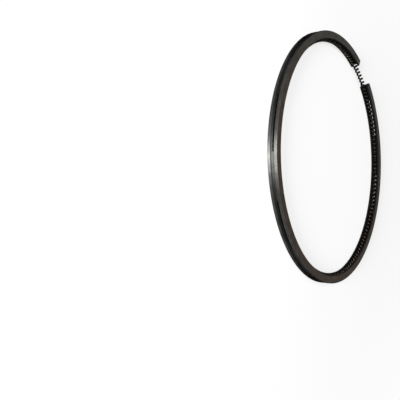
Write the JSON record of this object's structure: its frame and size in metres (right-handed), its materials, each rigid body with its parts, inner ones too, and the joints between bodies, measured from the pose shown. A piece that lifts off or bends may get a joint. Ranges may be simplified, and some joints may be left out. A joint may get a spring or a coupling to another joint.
{
  "type": "oil control piston ring",
  "caption": "Open slotted ring with running lands beside a drain groove and a coil spring in a half-round inner seat that bridges the end gap; scrapes oil off a cylinder wall.",
  "frame": {"origin": "on the ring's axis, in the plane of the lower side face that it lies on", "axes": "+Z along the ring's axis, up through the upper side face; -X through the middle of the end gap"},
  "size_m": [0.081, 0.0814, 0.003],
  "materials": {
    "ring_iron": "dark phosphate, satin lands",
    "spring_wire": "dark oiled wire",
    "latch_steel": "bright drawn wire"
  },
  "bodies": {
    "root": {"ring_body": "ring_iron", "coil_expander": "spring_wire", "latch_wire": "latch_steel"}
  },
  "joints": []
}
